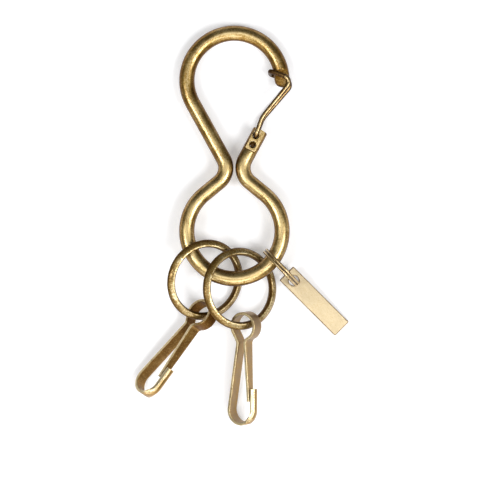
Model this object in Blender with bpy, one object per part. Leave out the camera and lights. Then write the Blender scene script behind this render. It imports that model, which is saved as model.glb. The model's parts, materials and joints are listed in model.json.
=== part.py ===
"""A brass key hook, lying flat as it is set down on a table.

One bent rod makes a large hook loop and a smaller loop for rings, and a sprung wire gate closes the
hook. Two rings of oval wire run on the ring loop, and each carries a clip bent from one strip of brass.
A small split ring carries a plain tag. Metres, +Z up, Y along the hook towards its hook loop, and the
origin on the table under the middle of the whole thing.
"""
import math

import bmesh
import bpy
import numpy as np
from mathutils import Matrix, Vector

# Rod of the frame
ROD_DIAMETER = 0.0050
HOOK_LOOP_RADIUS = 0.0155
RING_LOOP_RADIUS = 0.0155
WAIST_BEND_RADIUS = 0.0060
WAIST_GAP = 0.0006
WAIST_TO_HOOK_RUN = 0.0208
WAIST_TO_RING_RUN = 0.0063
ARM_LENGTH = 0.0108
ARM_LEAN = math.radians(28.0)
NOSE_ANGLE = math.radians(-7.3)
ARM_END_ROUNDING = 0.0006
NOSE_END_ROUNDING = 0.0022
ROD_SIDES = 16
ROD_STEP = math.radians(7.5)
END_STEPS = 4

# Flats filed on both ends of the rod, and the two holes for the gate
ARM_FLAT_THICKNESS = 0.0032
ARM_FLAT_LENGTH = 0.0078
NOSE_FLAT_THICKNESS = 0.0030
NOSE_FLAT_LENGTH = 0.0061
GATE_HOLE_DIAMETER = 0.0023
UPPER_HOLE_FROM_END = 0.0025
LOWER_HOLE_FROM_END = 0.0056
UPPER_HOLE_ASIDE = 0.0005
HOLE_SIDES = 20

# Gate, a hairpin of spring wire
GATE_WIRE_DIAMETER = 0.0015
GATE_CLEARANCE = 0.0003
GATE_KINK_RUN = 0.0063
GATE_KINK_HEADING = math.radians(71.0)
GATE_KINK_RADIUS = 0.0080
GATE_ELBOW_OVERHANG = 0.0010
GATE_ELBOW_ANGLE = math.radians(0.5)
GATE_ELBOW_RADIUS = 0.0020
GATE_STOP_GAP = 0.0003
GATE_STOP_ANGLE = math.radians(14.0)
GATE_BEND_RADIUS = 0.0012
GATE_BACK_SHIFT = 0.0002
GATE_SPRING_RUN = 0.0022
GATE_PIN_RECESS = 0.0012
WIRE_SIDES = 10
WIRE_STEP = math.radians(15.0)

# Key rings of oval wire
KEY_RING_OUTER_DIAMETER = 0.0268
KEY_RING_WIRE_WIDTH = 0.0025
KEY_RING_WIRE_HEIGHT = 0.0029
KEY_RING_SIDES = 12
KEY_RING_STEPS = 64
RING_CLEARANCE = 0.0003
LEFT_RING_ANGLE = math.radians(239.1)
LEFT_RING_OUT_SHARE = 0.251
LEFT_RING_SINK = 0.0006
RIGHT_RING_ANGLE = math.radians(275.3)
RIGHT_RING_OUT_SHARE = 0.278
RIGHT_RING_SINK = 0.0002

# Clips bent from strip
STRIP_WIDTH = 0.0042
STRIP_THICKNESS = 0.0009
STRIP_STEP = math.radians(12.0)
EYE_DIAMETER = 0.0094
NECK_BEND_RADIUS = 0.0020
NECK_DROP = 0.0056
NECK_RIGHT = 0.0008
NECK_LEFT = 0.0020
BOW_DIAMETER = 0.0098
BOW_DROP = 0.0275
BOW_ASIDE = 0.0009
TIP_RISE = 0.0071
TONGUE_OVERLAP = 0.0041
TONGUE_GAP = 0.0003
TONGUE_TIP_WIDTH = 0.0025
CHANNEL_STRIP_WIDTH = 0.0036
CHANNEL_FLAT_WIDTH = 0.0006
CHANNEL_FOLD_RADIUS = 0.0006
CHANNEL_FOLD = math.radians(88.0)
CHANNEL_FOLD_STEPS = 3
CHANNEL_START_ANGLE = math.radians(-80.0)
CHANNEL_FULL_ANGLE = math.radians(-5.0)
LEFT_CLIP_ON_RING = math.radians(29.0)
LEFT_EYE_DRAWN_IN = 0.0006
LEFT_CLIP_HEADING = math.radians(54.0)
LEFT_CLIP_ROLL = math.radians(44.0)
RIGHT_CLIP_ON_RING = math.radians(4.5)
RIGHT_EYE_DRAWN_IN = -0.0002
RIGHT_CLIP_HEADING = math.radians(90.0)
RIGHT_CLIP_ROLL = math.radians(33.0)

# Split ring of the tag, two turns of round wire
SPLIT_RING_OUTER_DIAMETER = 0.0157
SPLIT_WIRE_DIAMETER = 0.0009
SPLIT_TURN_GAP = 0.0003
SPLIT_RING_FROM_KEY_RING = 0.00244
SPLIT_RING_SKEW = math.radians(-10.7)
SPLIT_CROSSOVER_PLACE = math.radians(250.0)
SPLIT_CROSSOVER = math.radians(46.0)
SPLIT_STEP = math.radians(9.0)
SPLIT_WIRE_SIDES = 8

# Tag
TAG_LENGTH = 0.0259
TAG_WIDTH = 0.0064
TAG_THICKNESS = 0.0010
TAG_CORNER_RADIUS = 0.0003
TAG_HOLE_DIAMETER = 0.0033
TAG_HOLE_FROM_END = 0.0034
TAG_CORNER_STEPS = 3
TAG_HANG_ANGLE = math.radians(-36.0)
TAG_TWIST = math.radians(1.5)

CUT_OVERRUN = 0.0010
SHARP_ANGLE = math.radians(40.0)

# Search for the places where the pieces come to lie
MOST_TILT = math.radians(30.0)
MOST_DROP = math.radians(45.0)
SEARCH_STEPS = 24
CIRCLE_STEPS = 120

# Finish of each kind of brass: colour and roughness
FINISHES = {
    "rod_brass": ((0.52, 0.35, 0.13), 0.36),
    "wire_brass": ((0.40, 0.27, 0.11), 0.28),
    "ring_brass": ((0.33, 0.24, 0.09), 0.38),
    "strip_brass": ((0.30, 0.22, 0.10), 0.40),
    "tag_brass": ((0.80, 0.62, 0.30), 0.34),
}

# Sizes that follow from the ones above
ROD_RADIUS = ROD_DIAMETER / 2
GATE_WIRE_RADIUS = GATE_WIRE_DIAMETER / 2
KEY_RING_RADIUS = (KEY_RING_OUTER_DIAMETER - KEY_RING_WIRE_WIDTH) / 2
KEY_RING_HALF_HEIGHT = KEY_RING_WIRE_HEIGHT / 2
SPLIT_WIRE_RADIUS = SPLIT_WIRE_DIAMETER / 2
SPLIT_RING_RADIUS = SPLIT_RING_OUTER_DIAMETER / 2 - SPLIT_WIRE_RADIUS
SPLIT_TURN_PITCH = SPLIT_WIRE_DIAMETER + SPLIT_TURN_GAP
WAIST_BEND_X = ROD_RADIUS + WAIST_GAP / 2 + WAIST_BEND_RADIUS
WAIST_HEIGHT = math.sqrt((RING_LOOP_RADIUS + WAIST_BEND_RADIUS) ** 2 + WAIST_TO_RING_RUN ** 2
                         - WAIST_BEND_X ** 2)
HOOK_FROM_WAIST = math.sqrt((HOOK_LOOP_RADIUS + WAIST_BEND_RADIUS) ** 2 + WAIST_TO_HOOK_RUN ** 2
                            - WAIST_BEND_X ** 2)
HOOK_CENTRE = Vector((0, WAIST_HEIGHT + HOOK_FROM_WAIST))
LEFT_RING_REACH = RING_LOOP_RADIUS + KEY_RING_RADIUS * LEFT_RING_OUT_SHARE
RIGHT_RING_REACH = RING_LOOP_RADIUS + KEY_RING_RADIUS * RIGHT_RING_OUT_SHARE
THICKER_FLAT = max(ARM_FLAT_THICKNESS, NOSE_FLAT_THICKNESS)
GATE_LEVEL = THICKER_FLAT / 2 + GATE_CLEARANCE + GATE_WIRE_RADIUS


def direction(angle):
    return Vector((math.cos(angle), math.sin(angle)))


def clear_scene():
    for thing in list(bpy.data.objects):
        bpy.data.objects.remove(thing, do_unlink=True)


def brass(name, finish):
    """A brass of its own for one piece."""
    colour, roughness = FINISHES[finish]
    material = bpy.data.materials.new(name + "_" + finish)
    material.use_nodes = True
    shader = material.node_tree.nodes["Principled BSDF"]
    shader.inputs["Base Color"].default_value = (*colour, 1.0)
    shader.inputs["Metallic"].default_value = 1.0
    shader.inputs["Roughness"].default_value = roughness
    return material


def add_object(name, data, finish=None, parent=None):
    thing = bpy.data.objects.new(name, data)
    bpy.context.scene.collection.objects.link(thing)
    thing.parent = parent
    if finish:
        data.materials.append(brass(name, finish))
    return thing


def add_cutter(name, mesh, parent, target):
    """A shape that is cut out of another piece and isn't one itself."""
    cutter = add_object(name, mesh, parent=parent)
    cutter.hide_render = True
    cutter.display_type = "WIRE"
    cut = target.modifiers.new(name, "BOOLEAN")
    cut.operation = "DIFFERENCE"
    cut.solver = "EXACT"
    cut.object = cutter


def finished_mesh(name, bm):
    """The bmesh as a mesh, faces outwards, round parts smooth."""
    bmesh.ops.recalc_face_normals(bm, faces=bm.faces)
    mesh = bpy.data.meshes.new(name)
    bm.to_mesh(mesh)
    bm.free()
    mesh.shade_smooth()
    mesh.set_sharp_from_angle(angle=SHARP_ANGLE)
    return mesh


# Paths: round bends, joined by the straight runs that touch them both

def bend_path(bends, step, start_angle=0.0):
    """Points and headings along bends given as (centre, radius, turn), turn 1 to the left, -1 right.

    A bend of no radius is an end of the path. A path that begins on a bend begins at start_angle on it.
    """
    headings = []
    for (centre, radius, turn), (next_centre, next_radius, next_turn) in zip(bends, bends[1:]):
        run = next_centre - centre
        swing = math.asin((next_turn * next_radius - turn * radius) / run.length)
        headings.append(math.atan2(run.y, run.x) - swing)
    path = []
    for i, (centre, radius, turn) in enumerate(bends):
        if radius == 0:
            path.append((centre.copy(), headings[max(i - 1, 0)]))
            continue
        quarter = turn * math.pi / 2
        start = headings[i - 1] - quarter if i else start_angle
        end = headings[i] - quarter
        while turn * (end - start) < 0:
            end += turn * math.tau
        while turn * (end - start) > math.tau:
            end -= turn * math.tau
        count = max(2, math.ceil(abs(end - start) / step))
        for k in range(count + 1):
            angle = start + (end - start) * k / count
            path.append((centre + radius * direction(angle), angle + quarter))
    return path


def corner_path(corners, radii, step):
    """Points in space along straight runs, with every inner corner rounded to its radius."""
    points = [corners[0]]
    for before, corner, after, radius in zip(corners, corners[1:], corners[2:], radii):
        back = (before - corner).normalized()
        on = (after - corner).normalized()
        half = back.angle(on) / 2
        centre = corner + (back + on).normalized() * (radius / math.sin(half))
        start = corner + back * (radius / math.tan(half)) - centre
        sweep = math.pi - 2 * half
        axis = start.cross(corner - centre).normalized()
        count = max(2, math.ceil(sweep / step))
        for k in range(count + 1):
            points.append(centre + Matrix.Rotation(sweep * k / count, 3, axis) @ start)
    points.append(corners[-1])
    return points


def rounded_end(points, radius, rounding):
    """Points and radius shares in place of a wire's first point, for an end rounded off in quarter arcs."""
    tip, run = points[0], (points[1] - points[0]).normalized()
    ring = []
    for k in range(END_STEPS + 1):
        bend = direction(math.pi / 2 * k / END_STEPS)
        ring.append((tip + run * rounding * (1 - bend.x), (radius - rounding * (1 - bend.y)) / radius))
    while (points[1] - points[0]).length < rounding and (points[1] - tip).length <= rounding:
        points.pop(1)
    return ring


def wire_curve(name, points, diameter, sides, first_rounding=0, last_rounding=0):
    """A round wire along points, its ends rounded off."""
    radius = diameter / 2
    points = [Vector(p).to_3d() for p in points]
    shares = [1] * len(points)
    for rounding in (first_rounding, last_rounding):
        if rounding:
            ring = rounded_end(points, radius, rounding)
            shares = [s for _, s in ring] + shares[len(shares) - len(points) + 1:]
            points = [p for p, _ in ring] + points[1:]
        points.reverse()
        shares.reverse()
    curve = bpy.data.curves.new(name, "CURVE")
    curve.dimensions = "3D"
    curve.bevel_depth = radius
    curve.bevel_resolution = (sides - 4) // 2
    curve.use_fill_caps = True
    spline = curve.splines.new("POLY")
    spline.points.add(len(points) - 1)
    for slot, point, share in zip(spline.points, points, shares):
        slot.co = (*point, 1.0)
        slot.radius = share
    spline.use_smooth = True
    return curve


def box(bm, centre, sizes, turn=0.0):
    place = Matrix.Translation(centre) @ Matrix.Rotation(turn, 4, "Z") @ Matrix.Diagonal((*sizes, 1))
    bmesh.ops.create_cube(bm, size=1.0, matrix=place)


def cylinder(bm, centre, diameter, length):
    bmesh.ops.create_cone(bm, cap_ends=True, segments=HOLE_SIDES, radius1=diameter / 2,
                          radius2=diameter / 2, depth=length, matrix=Matrix.Translation(centre))


# The frame: one rod bent into two loops

def frame_path():
    left_bend = (Vector((-WAIST_BEND_X, WAIST_HEIGHT)), WAIST_BEND_RADIUS, -1)
    right_bend = (Vector((WAIST_BEND_X, WAIST_HEIGHT)), WAIST_BEND_RADIUS, -1)
    arm_heading = math.pi / 2 - ARM_LEAN
    arm_start = right_bend[0] + WAIST_BEND_RADIUS * direction(arm_heading + math.pi / 2)
    arm_end = arm_start + ARM_LENGTH * direction(arm_heading)
    bends = [(HOOK_CENTRE, HOOK_LOOP_RADIUS, 1), left_bend, (Vector((0, 0)), RING_LOOP_RADIUS, 1),
             right_bend, (arm_end, 0, 1)]
    return bend_path(bends, ROD_STEP, start_angle=NOSE_ANGLE), arm_end, arm_heading


def gate_holes():
    """Middles of the two gate holes, upper first."""
    _, arm_end, heading = frame_path()
    aside = direction(heading + math.pi / 2)
    upper = arm_end - direction(heading) * UPPER_HOLE_FROM_END + aside * UPPER_HOLE_ASIDE
    return upper, arm_end - direction(heading) * LOWER_HOLE_FROM_END


def make_frame(parent):
    path, arm_end, heading = frame_path()
    curve = wire_curve("hook_frame", [p for p, _ in path], ROD_DIAMETER, ROD_SIDES, NOSE_END_ROUNDING,
                       ARM_END_ROUNDING)
    sweep = bpy.data.objects.new("hook_frame_sweep", curve)
    bpy.context.scene.collection.objects.link(sweep)
    bpy.context.view_layer.update()
    mesh = bpy.data.meshes.new_from_object(sweep.evaluated_get(bpy.context.evaluated_depsgraph_get()))
    bpy.data.objects.remove(sweep, do_unlink=True)
    frame = add_object("hook_frame", mesh, "rod_brass", parent)

    flats = bmesh.new()
    nose_middle = NOSE_ANGLE + NOSE_FLAT_LENGTH / HOOK_LOOP_RADIUS / 2
    nose_place = HOOK_CENTRE + HOOK_LOOP_RADIUS * direction(nose_middle)
    arm_place = arm_end - direction(heading) * (ARM_FLAT_LENGTH - CUT_OVERRUN) / 2
    nose_run = NOSE_FLAT_LENGTH + CUT_OVERRUN
    nose_place -= direction(nose_middle + math.pi / 2) * CUT_OVERRUN / 2
    for place, turn, length, thickness in (
        (arm_place, heading, ARM_FLAT_LENGTH + CUT_OVERRUN, ARM_FLAT_THICKNESS),
        (nose_place, nose_middle + math.pi / 2, nose_run, NOSE_FLAT_THICKNESS),
    ):
        depth = ROD_RADIUS - thickness / 2 + CUT_OVERRUN
        for side in (1, -1):
            centre = (*place, side * (thickness + depth) / 2)
            box(flats, centre, (length, ROD_DIAMETER + CUT_OVERRUN, depth), turn)
    add_cutter("rod_end_flats_cutter", finished_mesh("rod_end_flats_cutter", flats), parent, frame)

    holes = bmesh.new()
    for hole in gate_holes():
        cylinder(holes, hole.to_3d(), GATE_HOLE_DIAMETER, ARM_FLAT_THICKNESS + CUT_OVERRUN)
    add_cutter("gate_holes_cutter", finished_mesh("gate_holes_cutter", holes), parent, frame)
    return frame


# The gate: a hairpin of wire whose two ends sit in the two holes

def gate_corners():
    """Corners of the gate wire in the frame's plane, as seen from the front."""
    upper, lower = gate_holes()
    kink = upper + direction(GATE_KINK_HEADING) * GATE_KINK_RUN
    elbow_reach = HOOK_LOOP_RADIUS + ROD_RADIUS + GATE_ELBOW_OVERHANG
    elbow = HOOK_CENTRE + elbow_reach * direction(GATE_ELBOW_ANGLE)
    stop_reach = HOOK_LOOP_RADIUS - ROD_RADIUS - GATE_STOP_GAP - GATE_WIRE_RADIUS
    stop = HOOK_CENTRE + stop_reach * direction(GATE_STOP_ANGLE)
    return upper, lower, kink, elbow, stop


def make_gate(parent):
    upper, lower, kink, elbow, stop = gate_corners()
    leg = (elbow - kink).normalized()
    shift = Vector((leg.y, -leg.x)) * GATE_BACK_SHIFT
    run_up = (kink + shift - lower).normalized()
    joint_place = lower + run_up * GATE_SPRING_RUN
    tail = joint_place + run_up * GATE_CLEARANCE

    def at(point, level):
        return Vector((*point, level))

    pin_depth = ARM_FLAT_THICKNESS / 2
    corners = [at(upper, -pin_depth), at(upper, GATE_LEVEL), at(kink, GATE_LEVEL), at(elbow, GATE_LEVEL),
               at(stop, GATE_LEVEL), at(stop, -GATE_LEVEL), at(elbow + shift, -GATE_LEVEL),
               at(kink + shift, -GATE_LEVEL), at(tail, -GATE_LEVEL)]
    radii = [GATE_BEND_RADIUS, GATE_KINK_RADIUS, GATE_ELBOW_RADIUS, GATE_BEND_RADIUS, GATE_BEND_RADIUS,
             GATE_ELBOW_RADIUS, GATE_KINK_RADIUS]
    origin = at(upper, 0)
    points = [p - origin for p in corner_path(corners, radii, WIRE_STEP)]
    gate = add_object("wire_gate", wire_curve("wire_gate", points, GATE_WIRE_DIAMETER, WIRE_SIDES),
                      "wire_brass", parent)
    gate.location = origin

    end_corners = [at(joint_place, -GATE_LEVEL), at(lower, -GATE_LEVEL),
                   at(lower, pin_depth - GATE_PIN_RECESS)]
    end_points = corner_path(end_corners, [GATE_BEND_RADIUS], WIRE_STEP)
    add_object("gate_spring_end", wire_curve("gate_spring_end", end_points, GATE_WIRE_DIAMETER, WIRE_SIDES),
               "wire_brass", parent)
    return gate


# The key rings, and how they come to lie across the rod and each other

def ring_pose(angle, reach, sink, dip, turn):
    """Place of a ring in the frame: out at angle and reach, dipped outwards, turned about its radius."""
    centre = reach * direction(angle)
    return (Matrix.Translation((*centre, -sink)) @ Matrix.Rotation(angle, 4, "Z")
            @ Matrix.Rotation(dip, 4, "Y") @ Matrix.Rotation(-turn, 4, "X"))


def circle_points(radius, pose=Matrix()):
    angles = np.linspace(0, math.tau, CIRCLE_STEPS, endpoint=False)
    flat = np.stack([radius * np.cos(angles), radius * np.sin(angles), 0 * angles, 1 + 0 * angles])
    return (np.array(pose) @ flat)[:3].T


def least_distance(points, others):
    return float(np.linalg.norm(points[:, None] - others[None], axis=2).min())


def first_value(works, low, high):
    """The least value from low to high for which works is true, by halving."""
    for _ in range(SEARCH_STEPS):
        middle = (low + high) / 2
        if works(middle):
            high = middle
        else:
            low = middle
    return high


def clear_turn(angle, reach, sink, dip):
    """The least turn at which a ring clears the rod both where it goes over and where it goes under."""
    loop = circle_points(RING_LOOP_RADIUS)
    needed = ROD_RADIUS + KEY_RING_HALF_HEIGHT + RING_CLEARANCE
    return first_value(
        lambda turn: least_distance(
            loop, circle_points(KEY_RING_RADIUS, ring_pose(angle, reach, sink, dip, turn))) > needed,
        0, math.pi / 2)


def lying_rings():
    """Poses of the two key rings in the frame: the right ring dips until it lies clear over the left."""
    left = ring_pose(LEFT_RING_ANGLE, LEFT_RING_REACH, LEFT_RING_SINK, 0,
                     clear_turn(LEFT_RING_ANGLE, LEFT_RING_REACH, LEFT_RING_SINK, 0))
    left_points = circle_points(KEY_RING_RADIUS, left)

    def right_at(dip):
        turn = clear_turn(RIGHT_RING_ANGLE, RIGHT_RING_REACH, RIGHT_RING_SINK, dip)
        return ring_pose(RIGHT_RING_ANGLE, RIGHT_RING_REACH, RIGHT_RING_SINK, dip, turn)

    needed = KEY_RING_WIRE_HEIGHT + RING_CLEARANCE
    dip = first_value(
        lambda d: least_distance(left_points, circle_points(KEY_RING_RADIUS, right_at(d))) > needed,
        0, MOST_TILT)
    return left, right_at(dip)


def lying_frame(ring_poses):
    """The frame's place: its hook loop or the gate's back on the table, its other end up on the rings."""
    top = HOOK_CENTRE.y + HOOK_LOOP_RADIUS
    gate_top = gate_corners()[-1].y + GATE_WIRE_RADIUS
    rings = np.concatenate([circle_points(KEY_RING_RADIUS, pose) for pose in ring_poses])

    def lift(slope):
        on_loop = ROD_RADIUS + top * math.sin(slope)
        on_gate = GATE_LEVEL + GATE_WIRE_RADIUS + gate_top * math.sin(slope)
        return max(on_loop, on_gate)

    slope = first_value(
        lambda s: float((lift(s) - rings[:, 1] * math.sin(s) + rings[:, 2] * math.cos(s)).min())
        > KEY_RING_HALF_HEIGHT, 0, MOST_TILT)
    return Matrix.Translation((0, 0, lift(slope))) @ Matrix.Rotation(-slope, 4, "X")


def make_key_ring(name, pose, parent):
    """A ring of oval wire, turned on its lathe axis Z."""
    bm = bmesh.new()
    section = []
    for k in range(KEY_RING_SIDES):
        side = direction(math.tau * k / KEY_RING_SIDES)
        section.append(bm.verts.new((KEY_RING_RADIUS + side.x * KEY_RING_WIRE_WIDTH / 2, 0,
                                     side.y * KEY_RING_HALF_HEIGHT)))
    edges = [bm.edges.new((a, b)) for a, b in zip(section, section[1:] + section[:1])]
    bmesh.ops.spin(bm, geom=section + edges, axis=(0, 0, 1), cent=(0, 0, 0), angle=math.tau,
                   steps=KEY_RING_STEPS, use_merge=True)
    ring = add_object(name, finished_mesh(name, bm), "ring_brass", parent)
    ring.matrix_local = pose
    return ring


# The clips: a strip bent to an eye, a neck and a bow, whose tip is folded to a channel

def clip_bends():
    eye_radius = (EYE_DIAMETER - STRIP_THICKNESS) / 2
    bow_radius = (BOW_DIAMETER - STRIP_THICKNESS) / 2
    bow_centre = Vector((-BOW_ASIDE, -BOW_DROP))
    right_neck = Vector((NECK_RIGHT + NECK_BEND_RADIUS, -NECK_DROP))
    left_neck = Vector((-NECK_LEFT - NECK_BEND_RADIUS, -NECK_DROP))
    tip = bow_centre + Vector((bow_radius, TIP_RISE))
    channel_edge = tip.x - CHANNEL_FOLD_RADIUS - strip_wing(CHANNEL_STRIP_WIDTH)
    tongue_end = Vector((channel_edge - TONGUE_GAP - STRIP_THICKNESS / 2, tip.y - TONGUE_OVERLAP))
    return [(tongue_end, 0, 1), (right_neck, NECK_BEND_RADIUS, -1), (Vector((0, 0)), eye_radius, 1),
            (left_neck, NECK_BEND_RADIUS, -1), (bow_centre, bow_radius, 1), (tip, 0, 1)]


def fold_length():
    return CHANNEL_FOLD_RADIUS * CHANNEL_FOLD


def strip_wing(width):
    """Straight part of the strip's side beyond its fold."""
    return (width - CHANNEL_FLAT_WIDTH) / 2 - fold_length()


def strip_section(width, fold):
    """Outline across the strip, its sides folded towards the inside of the bow by an angle."""
    middle, heading, place = [], 0.0, Vector((CHANNEL_FLAT_WIDTH / 2, 0))
    middle.append((place.copy(), heading))
    half_step = fold / CHANNEL_FOLD_STEPS / 2
    for _ in range(CHANNEL_FOLD_STEPS):
        heading += half_step
        place = place + direction(heading) * fold_length() / CHANNEL_FOLD_STEPS
        heading += half_step
        middle.append((place.copy(), heading))
    middle.append((place + direction(heading) * strip_wing(width), heading))
    half = STRIP_THICKNESS / 2
    outer = [p + direction(h - math.pi / 2) * half for p, h in middle]
    inner = [p + direction(h + math.pi / 2) * half for p, h in middle]

    def mirrored(points):
        return [Vector((-p.x, p.y)) for p in reversed(points)]

    return mirrored(outer) + outer + inner[::-1] + [Vector((-p.x, p.y)) for p in inner]


def strip_solid(name, path, widths, folds):
    """The strip along a path in the profile plane, extruded station by station."""
    bm = bmesh.new()
    face = None
    for (place, heading), width, fold in zip(path, widths, folds):
        inward = direction(heading + math.pi / 2)
        spots = [Vector((*(place + inward * s.y), s.x)) for s in strip_section(width, fold)]
        if face is None:
            face = bm.faces.new([bm.verts.new(spot) for spot in spots])
            order = {v.co.to_tuple(): k for k, v in enumerate(face.verts)}
        else:
            grown = bmesh.ops.extrude_face_region(bm, geom=[face, *face.edges])["geom"]
            face = next(g for g in grown if isinstance(g, bmesh.types.BMFace))
            numbers = {v: order[v.co.to_tuple()] for v in face.verts}
            for v, number in numbers.items():
                v.co = spots[number]
            order = {v.co.to_tuple(): number for v, number in numbers.items()}
    return finished_mesh(name, bm)


def channel_share(place):
    """How far the strip is folded to its channel at a place of the profile, from 0 to 1."""
    arm = place - Vector((-BOW_ASIDE, -BOW_DROP))
    angle = math.atan2(arm.y, arm.x)
    if arm.y > 2 * TIP_RISE or angle < CHANNEL_START_ANGLE or angle > math.pi / 2:
        return 0.0
    share = min(1.0, (angle - CHANNEL_START_ANGLE) / (CHANNEL_FULL_ANGLE - CHANNEL_START_ANGLE))
    return share * share * (3 - 2 * share)


def make_clip(side, ring, ring_world, on_ring, drawn_in, heading, roll):
    """A clip with its eye round the ring, its bow lowered until the strip rests on the table."""
    path = bend_path(clip_bends(), STRIP_STEP)
    neck = next(i for i, (p, h) in enumerate(path) if p.y > -NECK_DROP - NECK_BEND_RADIUS)
    hinge, hinge_heading = path[neck]
    tongue_path = path[:neck] + [(hinge - direction(hinge_heading) * TONGUE_GAP, hinge_heading)]
    body_path = path[neck:]
    shares = [channel_share(p) for p, h in body_path]
    widths = [STRIP_WIDTH + (CHANNEL_STRIP_WIDTH - STRIP_WIDTH) * s for s in shares]
    body_mesh = strip_solid(f"spring_clip_{side}", body_path, widths, [CHANNEL_FOLD * s for s in shares])
    body = add_object(f"spring_clip_{side}", body_mesh, "strip_brass", ring)

    lengths = [(hinge - p).length for p, h in tongue_path]
    widths = [STRIP_WIDTH + (TONGUE_TIP_WIDTH - STRIP_WIDTH) * length / lengths[0] for length in lengths]
    tongue_mesh = strip_solid(f"clip_tongue_{side}", [(p - hinge, h) for p, h in tongue_path], widths,
                              [0] * len(tongue_path))
    tongue = add_object(f"clip_tongue_{side}", tongue_mesh, "strip_brass", body)
    tongue.location = (*hinge, 0)

    eye = ring_world @ ((KEY_RING_RADIUS - drawn_in) * direction(on_ring)).to_3d()
    upright = Matrix.Rotation(heading - math.pi / 2, 4, "Z")
    rolled = Matrix.Rotation(-roll, 4, "Y")

    def place_at(drop):
        return Matrix.Translation(eye) @ upright @ Matrix.Rotation(drop, 4, "X") @ rolled

    drop = -first_value(lambda rise: min((place_at(-rise) @ v.co).z for v in body_mesh.vertices) > 0,
                        -MOST_DROP, MOST_DROP)
    body.matrix_local = ring_world.inverted() @ place_at(drop)
    return body


# The split ring of the tag, and the tag

def split_ring_points():
    """Two turns of wire side by side, with one step across where the ends stop."""
    half = SPLIT_CROSSOVER / 2
    end_gap = SPLIT_TURN_PITCH / SPLIT_RING_RADIUS
    first = half + end_gap
    last = 2 * math.tau - half - end_gap
    count = math.ceil((last - first) / SPLIT_STEP)
    points = []
    for k in range(count + 1):
        along = first + (last - first) * k / count
        across = min(1.0, max(0.0, (along - math.tau + half) / SPLIT_CROSSOVER))
        level = SPLIT_TURN_PITCH * (0.5 - across * across * (3 - 2 * across))
        points.append(Vector((*(SPLIT_RING_RADIUS * direction(SPLIT_CROSSOVER_PLACE + along)), level)))
    return points


def split_ring_angle():
    """Where on the ring loop the split ring hangs: past the place where the right key ring crosses it."""
    reach = RIGHT_RING_REACH
    crossing = math.acos((RING_LOOP_RADIUS ** 2 + reach ** 2 - KEY_RING_RADIUS ** 2)
                         / (2 * RING_LOOP_RADIUS * reach))
    return RIGHT_RING_ANGLE + crossing + SPLIT_RING_FROM_KEY_RING / RING_LOOP_RADIUS


def make_split_ring(frame_world, root):
    """The split ring stands on its edge on the table, drawn out until its wire meets the rod."""
    rod_place = frame_world @ Vector((*(RING_LOOP_RADIUS * direction(split_ring_angle())), 0))
    bore = SPLIT_RING_RADIUS - SPLIT_WIRE_RADIUS
    half_width = SPLIT_WIRE_RADIUS + SPLIT_TURN_PITCH / 2
    reach = (bore - ROD_RADIUS / math.cos(SPLIT_RING_SKEW)
             - half_width * abs(math.tan(SPLIT_RING_SKEW)) - RING_CLEARANCE)
    rise = SPLIT_RING_OUTER_DIAMETER / 2 - rod_place.z
    out = direction(split_ring_angle() + SPLIT_RING_SKEW).to_3d()
    up = Vector((0, 0, 1))
    centre = rod_place + out * math.sqrt(reach * reach - rise * rise) + up * rise
    turned = Matrix((out, up, out.cross(up))).transposed().to_4x4()
    pose = Matrix.Translation(centre) @ turned

    pivot = add_object("tag_split_ring_pivot", None, parent=root)
    pivot.matrix_local = Matrix.Translation(rod_place)
    curve = wire_curve("tag_split_ring", split_ring_points(), SPLIT_WIRE_DIAMETER, SPLIT_WIRE_SIDES)
    ring = add_object("tag_split_ring", curve, "wire_brass", pivot)
    ring.matrix_local = Matrix.Translation(-rod_place) @ pose
    return ring, pose


def make_tag(ring, ring_pose_world):
    """A plain plate, its hole on the split ring and its far end on the table."""
    bm = bmesh.new()
    near, far, side = -TAG_HOLE_FROM_END, TAG_LENGTH - TAG_HOLE_FROM_END, TAG_WIDTH / 2
    corners = [(near, -side), (far, -side), (far, side), (near, side)]
    face = bm.faces.new([bm.verts.new((x, y, -TAG_THICKNESS / 2)) for x, y in corners])
    bmesh.ops.bevel(bm, geom=face.verts[:], affect="VERTICES", offset=TAG_CORNER_RADIUS,
                    segments=TAG_CORNER_STEPS, profile=0.5, material=-1)
    grown = bmesh.ops.extrude_face_region(bm, geom=bm.faces[:])["geom"]
    bmesh.ops.translate(bm, verts=[g for g in grown if isinstance(g, bmesh.types.BMVert)],
                        vec=(0, 0, TAG_THICKNESS))
    tag = add_object("tag_plate", finished_mesh("tag_plate", bm), "tag_brass", ring)

    hang = ring_pose_world @ Vector((*(SPLIT_RING_RADIUS * direction(TAG_HANG_ANGLE)), 0))
    droop = (math.asin(hang.z / math.hypot(far, TAG_THICKNESS / 2)) - math.atan2(TAG_THICKNESS / 2, far))
    heading = split_ring_angle() + SPLIT_RING_SKEW + TAG_TWIST
    pose = Matrix.Translation(hang) @ Matrix.Rotation(heading, 4, "Z") @ Matrix.Rotation(droop, 4, "Y")
    tag.matrix_local = ring_pose_world.inverted() @ pose

    hole = bmesh.new()
    cylinder(hole, (0, 0, 0), TAG_HOLE_DIAMETER, TAG_THICKNESS + CUT_OVERRUN)
    add_cutter("tag_hole_cutter", finished_mesh("tag_hole_cutter", hole), tag, tag)
    return tag


def centre_on_footprint(root):
    """Moves the whole thing so that the origin is under the middle of its box."""
    bpy.context.view_layer.update()
    graph = bpy.context.evaluated_depsgraph_get()
    corners = []
    for thing in bpy.context.scene.objects:
        if thing.type == "EMPTY" or thing.hide_render:
            continue
        shown = thing.evaluated_get(graph)
        corners += [thing.matrix_world @ v.co for v in shown.to_mesh().vertices]
        shown.to_mesh_clear()
    low = [min(c[k] for c in corners) for k in range(3)]
    high = [max(c[k] for c in corners) for k in range(3)]
    root.location = (-(low[0] + high[0]) / 2, -(low[1] + high[1]) / 2, -low[2])
    bpy.context.view_layer.update()


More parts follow.
